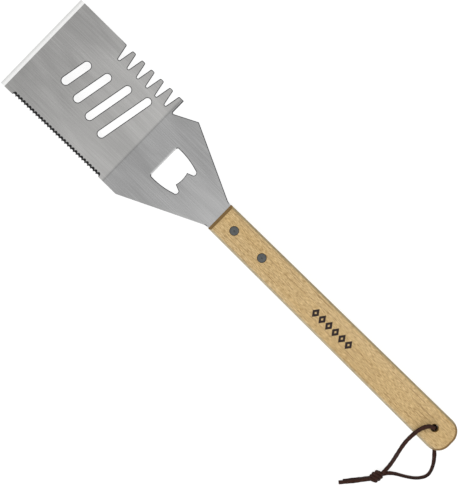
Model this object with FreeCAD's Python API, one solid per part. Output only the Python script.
import FreeCAD, Part
import math
import os

# A long-handled grill spatula, lying on a table, in millimetres. Z is up and the table is z = 0.
# The blade, the neck and the tang are one piece of sheet steel with a single bend across it, the heel.
# Most of it is drawn in the "flat frame": x runs back from the bend along the handle, y across, and
# z = 0 is the middle of the neck's sheet. lay_down() then puts each piece in its place on the table.

# Driving dimensions of the steel sheet
SHEET = 1.5
BEND_ANGLE = 12.0
BEND_INNER_RADIUS = 2.0
BLADE_LENGTH = 107.3
BLADE_WIDTH = 88.4
NECK_LENGTH = 85.1
TANG_LENGTH = 60.0
TANG_WIDTH = 24.7

# The ground front edge of the blade
BEVEL_LENGTH = 3.9
BEVEL_EDGE_THICKNESS = 0.3

# Drain slots, from the front one back to the one nearest the bend
SLOT_COUNT = 4
SLOT_PITCH = 16.65
SLOT_FROM_BEND = 71.27
SLOT_LENGTH = 26.2
SLOT_LENGTH_STEP = 7.7
SLOT_WIDTH = 6.5
SLOT_WIDTH_STEP = -0.2
SLOT_TILT = 10.9
SLOT_SIDE_SHIFT = 1.4
SLOT_SIDE_SHIFT_STEP = 0.45

# Tenderizer teeth, cut as V notches with round roots into the blade's left edge
NOTCH_COUNT = 6
NOTCH_PITCH = 9.93
NOTCH_FROM_BEND = 55.43
NOTCH_ROOT_Y = 31.5
NOTCH_ROOT_RADIUS = 0.95
NOTCH_HALF_ANGLE = 10.6
TOOTH_TIP_RADIUS = 1.1
LAST_TOOTH_BACK = 1.9

# Serrated right edge: scallops ground at a slant, so that they reach further in on the top face
SCALLOP_COUNT = 30
SCALLOP_FIRST = 93.7
SCALLOP_LAST = 5.6
SCALLOP_RADIUS = 1.9
SCALLOP_SLANT = 55.0
SCALLOP_DEPTH = 1.15

# Neck outline
TAPER_START = 14.3
TAPER_END = 81.9
REAR_NOTCH_ROOT_Y = 30.8
REAR_NOTCH_RADIUS = 1.0
SHOULDER_X = 21.9
NECK_FILLET = 8.0

# Bottle opener: a window in the neck with a tongue that catches under a cap
OPENER_FRONT = 24.0
OPENER_HALF_WIDTH = 15.05
OPENER_SIDE_MIDDLE = (36.0, 14.5)
OPENER_SIDE_END = (46.4, 12.1)
OPENER_PRONG_TIP = (48.6, 10.3)
OPENER_PRONG_INNER = (48.0, 8.25)
TONGUE_CORNER = (42.95, 6.3)
TONGUE_HOLLOW_X = 43.9
OPENER_CORNER_RADIUS = 1.2

# Wooden handle
HANDLE_LENGTH = 244.7
HANDLE_THICKNESS = 14.0
HANDLE_FRONT_WIDTH = 25.4
HANDLE_REAR_WIDTH = 27.2
HANDLE_END_RADIUS = 11.2
HANDLE_EDGE_RADIUS = 2.2
HANDLE_FRONT_CHAMFER = 2.9
KERF_WIDTH = 1.6
KERF_LENGTH = 61.0
KERF_MOUTH_OVERRUN = 1.0

# Two-part rivets through the handle and the tang
RIVET_FROM_FRONT = (16.0, 45.6)
RIVET_HEAD_DIAMETER = 7.1
RIVET_HEAD_THICKNESS = 1.6
RIVET_HEAD_PROUD = 0.1
RIVET_HEAD_EDGE = 0.35
RIVET_SLEEVE_DIAMETER = 4.5
RIVET_PIN_DIAMETER = 3.0
RIVET_FIT = 0.02
RIVET_END_GAP = 0.8
RIVET_MARK_DIAMETER = 1.2
RIVET_MARK_DEPTH = 0.25
COUNTERBORE_DIAMETER = 7.5
RIVET_BORE_CLEARANCE = 0.1

# Hang hole and leather lanyard
HANG_HOLE_FROM_END = 17.1
HANG_HOLE_DIAMETER = 5.3
HANG_HOLE_CHAMFER = 0.6
THONG_DIAMETER = 2.8
TAIL_DIAMETER = 2.2
KNOT_SIZE = (9.2, 13.0, 7.6)
KNOT_PLACE = (-0.7, -58.6)
ROUTE_CORNER_SHARE = 0.45

# The lanyard's route, measured from the hang hole's centre line; z is above the table.
# Both strands start in the middle of the hole and end inside the knot.
UPPER_STRAND = [
    (0.0, 0.0, 24.0),
    (0.0, 0.0, 31.6),
    (-5.3, -1.3, 33.7),
    (-8.6, -7.8, 33.7),
    (-9.2, -15.2, 32.4),
    (-8.4, -22.2, 27.8),
    (-6.2, -28.8, 21.8),
    (-3.4, -35.4, 15.2),
    (-0.8, -42.2, 9.4),
    (0.7, -48.8, 5.8),
    (0.7, -54.8, 4.3),
]
LOWER_STRAND = [
    (0.0, 0.0, 24.0),
    (0.0, 0.0, 14.8),
    (5.6, -4.6, 12.2),
    (12.4, -9.8, 11.2),
    (19.0, -15.8, 9.2),
    (24.4, -22.4, 6.4),
    (27.4, -30.2, 3.8),
    (23.4, -37.6, 2.1),
    (16.0, -43.0, 1.7),
    (8.8, -46.8, 1.9),
    (3.6, -50.8, 2.5),
    (0.6, -55.4, 3.2),
]
SHORT_TAIL = [
    (-1.0, -60.7, 1.5),
    (-5.2, -66.0, 1.2),
    (-10.4, -72.5, 1.15),
    (-16.0, -79.5, 1.2),
]
LONG_TAIL = [
    (-1.0, -61.3, 3.9),
    (-5.2, -66.7, 3.6),
    (-9.6, -72.7, 3.5),
    (-14.5, -78.6, 3.3),
    (-17.8, -82.5, 2.6),
]

V = FreeCAD.Vector
ACROSS = V(0, 1, 0)
UP = V(0, 0, 1)
HALF = SHEET / 2
THROUGH = 4 * SHEET
NEAR = 0.01
BEND_AXIS_Z = HALF + BEND_INNER_RADIUS
HEEL_OUTER_RADIUS = BEND_INNER_RADIUS + SHEET
HANDLE_END = NECK_LENGTH + HANDLE_LENGTH
HANG_HOLE_X = HANDLE_END - HANG_HOLE_FROM_END


def rest_pitch():
    """The handle's tilt when the heel and the handle's lower front edge both touch the table."""
    back = NECK_LENGTH + HANDLE_FRONT_CHAMFER
    down = HANDLE_THICKNESS / 2 + BEND_AXIS_Z
    reach = math.hypot(back, down)
    return math.degrees(math.atan2(down, back) - math.asin(HEEL_OUTER_RADIUS / reach))


def front_to_heel():
    """How far the blade's front edge is ahead of the heel, along the table."""
    tilt = math.radians(BEND_ANGLE - rest_pitch())
    return BLADE_LENGTH * math.cos(tilt) + HEEL_OUTER_RADIUS * math.sin(tilt)


def heel_to_end():
    """How far the handle's end is behind the heel, along the table."""
    pitch = math.radians(rest_pitch())
    wall = HANDLE_THICKNESS / 2 - HANDLE_EDGE_RADIUS
    return HANDLE_END * math.cos(pitch) + (wall + BEND_AXIS_Z) * math.sin(pitch)


HEEL_X = (front_to_heel() - heel_to_end()) / 2


def lay_down(shape):
    """Moves a shape from the flat frame to its place on the table."""
    placed = shape.copy()
    placed.rotate(V(0, 0, BEND_AXIS_Z), ACROSS, -rest_pitch())
    placed.translate(V(HEEL_X, 0, HEEL_OUTER_RADIUS - BEND_AXIS_Z))
    return placed


def polygon_plate(points, low, high):
    """A flat plate with straight sides, between two heights."""
    corners = [V(x, y, low) for x, y in points]
    face = Part.Face(Part.makePolygon(corners + corners[:1]))
    return face.extrude(V(0, 0, high - low))


def upright_edges(shape, wanted):
    """The edges along Z whose place in plan the test accepts."""
    found = []
    for edge in shape.Edges:
        ends = [vertex.Point for vertex in edge.Vertexes]
        if len(ends) != 2:
            continue
        upright = math.hypot(ends[0].x - ends[1].x, ends[0].y - ends[1].y) < NEAR
        if upright and wanted(ends[0].x, ends[0].y):
            found.append(edge)
    return found


def slot_cutter(number):
    """One round-ended drain slot, as a solid to cut with."""
    length = SLOT_LENGTH + number * SLOT_LENGTH_STEP
    width = SLOT_WIDTH + number * SLOT_WIDTH_STEP
    between_ends = length - width
    bar = Part.makeBox(width, between_ends, THROUGH, V(-width / 2, -between_ends / 2, -THROUGH / 2))
    ends = [
        Part.makeCylinder(width / 2, THROUGH, V(0, side * between_ends / 2, -THROUGH / 2))
        for side in (-1, 1)
    ]
    cutter = bar.fuse(ends)
    cutter.rotate(V(0, 0, 0), UP, -SLOT_TILT)
    side_shift = SLOT_SIDE_SHIFT + number * SLOT_SIDE_SHIFT_STEP
    cutter.translate(V(number * SLOT_PITCH - SLOT_FROM_BEND, side_shift, 0))
    return cutter


def notch_cutter(number):
    """One V notch with a round root, which leaves a tenderizer tooth on each side."""
    angle = math.radians(NOTCH_HALF_ANGLE)
    middle_y = NOTCH_ROOT_Y + NOTCH_ROOT_RADIUS
    tangent_x = NOTCH_ROOT_RADIUS * math.cos(angle)
    tangent_y = middle_y - NOTCH_ROOT_RADIUS * math.sin(angle)
    mouth_y = BLADE_WIDTH
    mouth_x = tangent_x + (mouth_y - tangent_y) * math.tan(angle)
    left = V(-tangent_x, tangent_y, -SHEET)
    right = V(tangent_x, tangent_y, -SHEET)
    mouth_left = V(-mouth_x, mouth_y, -SHEET)
    mouth_right = V(mouth_x, mouth_y, -SHEET)
    root = Part.Arc(left, V(0, NOTCH_ROOT_Y, -SHEET), right).toShape()
    sides = [
        Part.LineSegment(right, mouth_right).toShape(),
        Part.LineSegment(mouth_right, mouth_left).toShape(),
        Part.LineSegment(mouth_left, left).toShape(),
    ]
    cutter = Part.Face(Part.Wire([root] + sides)).extrude(V(0, 0, 2 * SHEET))
    cutter.translate(V(number * NOTCH_PITCH - NOTCH_FROM_BEND, 0, 0))
    return cutter


def scallop_cutter(number):
    """One slanted round cutter of the serrated edge."""
    step = (SCALLOP_FIRST - SCALLOP_LAST) / (SCALLOP_COUNT - 1)
    slant = math.radians(SCALLOP_SLANT)
    length = 2 * THROUGH
    along = V(0, math.sin(slant), math.cos(slant))
    lower_y = SCALLOP_DEPTH - BLADE_WIDTH / 2 - SCALLOP_RADIUS / math.cos(slant)
    on_lower_face = V(number * step - SCALLOP_FIRST, lower_y, -HALF)
    return Part.makeCylinder(SCALLOP_RADIUS, length, on_lower_face - along * (length / 2), along)


def front_bevel_cutter():
    """The wedge that is ground off the top of the blade's front edge."""
    rear = V(BEVEL_LENGTH - BLADE_LENGTH, -BLADE_WIDTH, HALF)
    drop = SHEET - BEVEL_EDGE_THICKNESS
    front = rear + V(-2 * BEVEL_LENGTH, 0, -2 * drop)
    above = V(front.x, front.y, SHEET)
    over_rear = V(rear.x, rear.y, SHEET)
    outline = Part.makePolygon([rear, front, above, over_rear, rear])
    return Part.Face(outline).extrude(V(0, 2 * BLADE_WIDTH, 0))


def blade_plate():
    """The blade, ahead of the bend, still flat."""
    half_width = BLADE_WIDTH / 2
    corners = [
        (0, -half_width),
        (0, half_width),
        (-BLADE_LENGTH, half_width),
        (-BLADE_LENGTH, -half_width),
    ]
    plate = polygon_plate(corners, -HALF, HALF)
    plate = plate.cut([notch_cutter(i) for i in range(NOTCH_COUNT)])
    first_tooth_x = -NOTCH_FROM_BEND - NOTCH_PITCH / 2
    tips = upright_edges(plate, lambda x, y: y > half_width - NEAR and first_tooth_x < x < -NEAR)
    plate = plate.makeFillet(TOOTH_TIP_RADIUS, tips)
    plate = plate.cut([slot_cutter(i) for i in range(SLOT_COUNT)])
    plate = plate.cut([scallop_cutter(i) for i in range(SCALLOP_COUNT)])
    return plate.cut(front_bevel_cutter())


def opener_cutter():
    """The bottle opener's window, with the tongue left standing at its rear."""
    edges = []
    for side in (1, -1):
        def at(point):
            return V(point[0], side * point[1], -SHEET)

        front = at((OPENER_FRONT, OPENER_HALF_WIDTH))
        side_end = at(OPENER_SIDE_END)
        prong_inner = at(OPENER_PRONG_INNER)
        edges.append(Part.LineSegment(V(OPENER_FRONT, 0, -SHEET), front).toShape())
        edges.append(Part.Arc(front, at(OPENER_SIDE_MIDDLE), side_end).toShape())
        edges.append(Part.Arc(side_end, at(OPENER_PRONG_TIP), prong_inner).toShape())
        edges.append(Part.LineSegment(prong_inner, at(TONGUE_CORNER)).toShape())
    corners = [V(TONGUE_CORNER[0], side * TONGUE_CORNER[1], -SHEET) for side in (1, -1)]
    hollow = V(TONGUE_HOLLOW_X, 0, -SHEET)
    edges.append(Part.Arc(corners[0], hollow, corners[1]).toShape())
    outline = Part.Wire(Part.__sortEdges__(edges))
    cutter = Part.Face(outline).extrude(V(0, 0, 2 * SHEET))
    corners = upright_edges(cutter, lambda x, y: x < OPENER_FRONT + NEAR and abs(y) > NEAR)
    return cutter.makeFillet(OPENER_CORNER_RADIUS, corners)


def neck_plate():
    """The neck with the opener in it, and the tang that the handle hides."""
    half_blade = BLADE_WIDTH / 2
    half_tang = TANG_WIDTH / 2
    tang_end = NECK_LENGTH + TANG_LENGTH
    slope = (half_blade - half_tang) / (TAPER_END - TAPER_START)
    shoulder_y = half_blade - slope * (SHOULDER_X - TAPER_START)
    corners = [
        (0, -half_blade),
        (TAPER_START, -half_blade),
        (TAPER_END, -half_tang),
        (tang_end, -half_tang),
        (tang_end, half_tang),
        (TAPER_END, half_tang),
        (SHOULDER_X, shoulder_y),
        (LAST_TOOTH_BACK, REAR_NOTCH_ROOT_Y),
        (LAST_TOOTH_BACK, half_blade),
        (0, half_blade),
    ]
    plate = polygon_plate(corners, -HALF, HALF)
    notch_root = upright_edges(plate, lambda x, y: abs(y - REAR_NOTCH_ROOT_Y) < NEAR)
    plate = plate.makeFillet(REAR_NOTCH_RADIUS, notch_root)
    waist = upright_edges(plate, lambda x, y: abs(x - TAPER_END) < NEAR)
    plate = plate.makeFillet(NECK_FILLET, waist)
    holes = [
        Part.makeCylinder(
            RIVET_SLEEVE_DIAMETER / 2 + RIVET_BORE_CLEARANCE,
            2 * SHEET,
            V(NECK_LENGTH + back, 0, -SHEET),
        )
        for back in RIVET_FROM_FRONT
    ]
    return plate.cut([opener_cutter()] + holes)


def bend_strip():
    """The narrow curved strip that joins the blade to the neck."""
    half_width = BLADE_WIDTH / 2
    corners = [
        V(0, -half_width, -HALF),
        V(0, half_width, -HALF),
        V(0, half_width, HALF),
        V(0, -half_width, HALF),
    ]
    section = Part.Face(Part.makePolygon(corners + corners[:1]))
    return section.revolve(V(0, 0, BEND_AXIS_Z), ACROSS, BEND_ANGLE)


def spatula_blade():
    """The whole steel sheet: blade, bend, neck and tang."""
    blade = blade_plate()
    blade.rotate(V(0, 0, BEND_AXIS_Z), ACROSS, BEND_ANGLE)
    return neck_plate().fuse([bend_strip(), blade]).removeSplitter()


def handle():
    """The wooden handle: a blunt bar with a saw kerf for the tang, rivet bores and a hang hole."""
    front = HANDLE_FRONT_WIDTH / 2
    rear = HANDLE_REAR_WIDTH / 2
    half_thick = HANDLE_THICKNESS / 2
    corners = [
        (NECK_LENGTH, -front),
        (HANDLE_END, -rear),
        (HANDLE_END, rear),
        (NECK_LENGTH, front),
    ]
    bar = polygon_plate(corners, -half_thick, half_thick)
    ends = upright_edges(bar, lambda x, y: x > HANDLE_END - NEAR)
    bar = bar.makeFillet(HANDLE_END_RADIUS, ends)
    rims = [edge for edge in bar.Edges if abs(abs(edge.CenterOfMass.z) - half_thick) < NEAR]
    front_rims = [edge for edge in rims if edge.CenterOfMass.x < NECK_LENGTH + NEAR]
    bar = bar.makeChamfer(HANDLE_FRONT_CHAMFER, front_rims)
    rims = [
        edge
        for edge in bar.Edges
        if abs(abs(edge.CenterOfMass.z) - half_thick) < NEAR
        and edge.CenterOfMass.x > NECK_LENGTH + HANDLE_FRONT_CHAMFER + NEAR
    ]
    bar = bar.makeFillet(HANDLE_EDGE_RADIUS, rims)
    kerf_corner = V(NECK_LENGTH - KERF_MOUTH_OVERRUN, -HANDLE_REAR_WIDTH, -KERF_WIDTH / 2)
    kerf = Part.makeBox(
        KERF_LENGTH + KERF_MOUTH_OVERRUN, 2 * HANDLE_REAR_WIDTH, KERF_WIDTH, kerf_corner
    )
    return bar.cut([kerf, hang_hole_cutter()] + rivet_bore_cutters())


def hang_hole_cutter():
    """The hang hole, with its two mouths eased."""
    half_thick = HANDLE_THICKNESS / 2
    radius = HANG_HOLE_DIAMETER / 2
    wide = radius + HANG_HOLE_CHAMFER
    middle = V(HANG_HOLE_X, 0, 0)
    hole = Part.makeCylinder(radius, HANDLE_THICKNESS, middle - UP * half_thick)
    mouths = [
        Part.makeCone(
            radius, wide, HANG_HOLE_CHAMFER,
            middle + UP * (side * (half_thick - HANG_HOLE_CHAMFER)), UP * side,
        )
        for side in (-1, 1)
    ]
    return hole.fuse(mouths)


def rivet_bore_cutters():
    """A bore and two counterbores for each rivet."""
    half_thick = HANDLE_THICKNESS / 2
    bore_radius = RIVET_SLEEVE_DIAMETER / 2 + RIVET_BORE_CLEARANCE
    seat_depth = RIVET_HEAD_THICKNESS - RIVET_HEAD_PROUD
    cutters = []
    for back in RIVET_FROM_FRONT:
        middle = V(NECK_LENGTH + back, 0, 0)
        cutters.append(Part.makeCylinder(bore_radius, HANDLE_THICKNESS, middle - UP * half_thick))
        for side in (-1, 1):
            seat = middle + UP * (side * (half_thick - seat_depth))
            cutters.append(Part.makeCylinder(COUNTERBORE_DIAMETER / 2, 2 * seat_depth, seat, UP * side))
    return cutters


def rivet_head(middle, side):
    """A flat rivet head with a rounded rim and a shallow centre mark; side is 1 on top."""
    outer = HANDLE_THICKNESS / 2 + RIVET_HEAD_PROUD
    inner = outer - RIVET_HEAD_THICKNESS
    head = Part.makeCylinder(
        RIVET_HEAD_DIAMETER / 2, RIVET_HEAD_THICKNESS, middle + UP * (side * inner), UP * side
    )
    rim = [edge for edge in head.Edges if abs(edge.CenterOfMass.z - side * outer) < NEAR]
    head = head.makeFillet(RIVET_HEAD_EDGE, rim)
    mark = Part.makeSphere(RIVET_MARK_DIAMETER / 2)
    mark.translate(middle + UP * (side * (outer + RIVET_MARK_DIAMETER / 2 - RIVET_MARK_DEPTH)))
    return head.cut(mark)


def rivet_sleeve(middle):
    """The tubular half of a rivet, with its head on the top face."""
    seat = HANDLE_THICKNESS / 2 + RIVET_HEAD_PROUD - RIVET_HEAD_THICKNESS
    foot = RIVET_END_GAP - seat
    barrel = Part.makeCylinder(RIVET_SLEEVE_DIAMETER / 2, seat - foot, middle + UP * foot)
    bore = Part.makeCylinder(RIVET_PIN_DIAMETER / 2 + RIVET_FIT, seat - foot, middle + UP * foot)
    return rivet_head(middle, 1).fuse(barrel).cut(bore).removeSplitter()


def rivet_pin(middle):
    """The solid half of a rivet, with its head on the underside."""
    seat = HANDLE_THICKNESS / 2 + RIVET_HEAD_PROUD - RIVET_HEAD_THICKNESS
    shank = Part.makeCylinder(
        RIVET_PIN_DIAMETER / 2, 2 * seat - RIVET_END_GAP, middle - UP * seat
    )
    return rivet_head(middle, -1).fuse(shank).removeSplitter()


def hang_hole_middle():
    """The hang hole's middle, in its place on the table."""
    return lay_down(Part.Vertex(V(HANG_HOLE_X, 0, 0))).Point


def cord_path(points):
    """Straight runs joined by arcs that are as large as each pair of runs allows."""
    edges = []
    start = points[0]
    for before, corner, after in zip(points, points[1:], points[2:]):
        back = before - corner
        onward = after - corner
        turn = math.pi - back.getAngle(onward)
        cut = ROUTE_CORNER_SHARE * min(back.Length, onward.Length)
        radius = cut / math.tan(turn / 2)
        back.normalize()
        onward.normalize()
        to_middle = (back + onward).normalize()
        arc_start = corner + back * cut
        arc_end = corner + onward * cut
        off_corner = radius / math.cos(turn / 2) - radius
        edges.append(Part.LineSegment(start, arc_start).toShape())
        edges.append(Part.Arc(arc_start, corner + to_middle * off_corner, arc_end).toShape())
        print(f"    turn {math.degrees(turn):5.1f} degrees, radius {radius:6.1f} mm")
        start = arc_end
    edges.append(Part.LineSegment(start, points[-1]).toShape())
    return Part.Wire(edges)


def cord_tube(name, route, diameter):
    """A round tube along a route that is given from the hang hole's centre line."""
    print(name)
    hole = hang_hole_middle()
    points = [V(hole.x + x, hole.y + y, z) for x, y, z in route]
    path = cord_path(points)
    section = Part.Wire(Part.makeCircle(diameter / 2, points[0], points[1] - points[0]))
    tube = path.makePipeShell([section], True, False)
    expected = math.pi * diameter**2 / 4 * path.Length
    print(f"    length {path.Length:.1f} mm, volume {tube.Volume:.1f} of {expected:.1f} mm3")
    return tube


def lanyard_knot():
    """The overhand knot that ties the two strands together, as a plain rounded lump on the table."""
    hole = hang_hole_middle()
    ball = Part.makeSphere(1.0)
    stretch = FreeCAD.Matrix()
    stretch.scale(V(*(size / 2 for size in KNOT_SIZE)))
    lump = ball.transformGeometry(stretch)
    lump.translate(V(hole.x + KNOT_PLACE[0], hole.y + KNOT_PLACE[1], KNOT_SIZE[2] / 2))
    return lump


def main():
    os.makedirs("parts", exist_ok=True)
    nodes = {"spatula_blade": lay_down(spatula_blade()), "handle": lay_down(handle())}
    for name, back in zip(("front", "rear"), RIVET_FROM_FRONT):
        middle = V(NECK_LENGTH + back, 0, 0)
        nodes[name + "_rivet_sleeve"] = lay_down(rivet_sleeve(middle))
        nodes[name + "_rivet_pin"] = lay_down(rivet_pin(middle))
    nodes["lanyard_upper_strand"] = cord_tube("upper strand", UPPER_STRAND, THONG_DIAMETER)
    nodes["lanyard_lower_strand"] = cord_tube("lower strand", LOWER_STRAND, THONG_DIAMETER)
    nodes["lanyard_knot"] = lanyard_knot()
    nodes["lanyard_short_tail"] = cord_tube("short tail", SHORT_TAIL, TAIL_DIAMETER)
    nodes["lanyard_long_tail"] = cord_tube("long tail", LONG_TAIL, TAIL_DIAMETER)
    for name, shape in nodes.items():
        box = shape.BoundBox
        print(
            f"{name}: {len(shape.Solids)} solid, valid {shape.isValid()}, "
            f"x {box.XMin:.2f} to {box.XMax:.2f}, y {box.YMin:.2f} to {box.YMax:.2f}, "
            f"z {box.ZMin:.2f} to {box.ZMax:.2f}"
        )
        shape.exportStep(f"parts/{name}.step")
    hole = hang_hole_middle()
    print(f"pitch {rest_pitch():.3f} degrees, heel at x {HEEL_X:.3f}")
    print(f"hang hole's middle {hole.x:.3f} {hole.y:.3f} {hole.z:.3f}")


main()
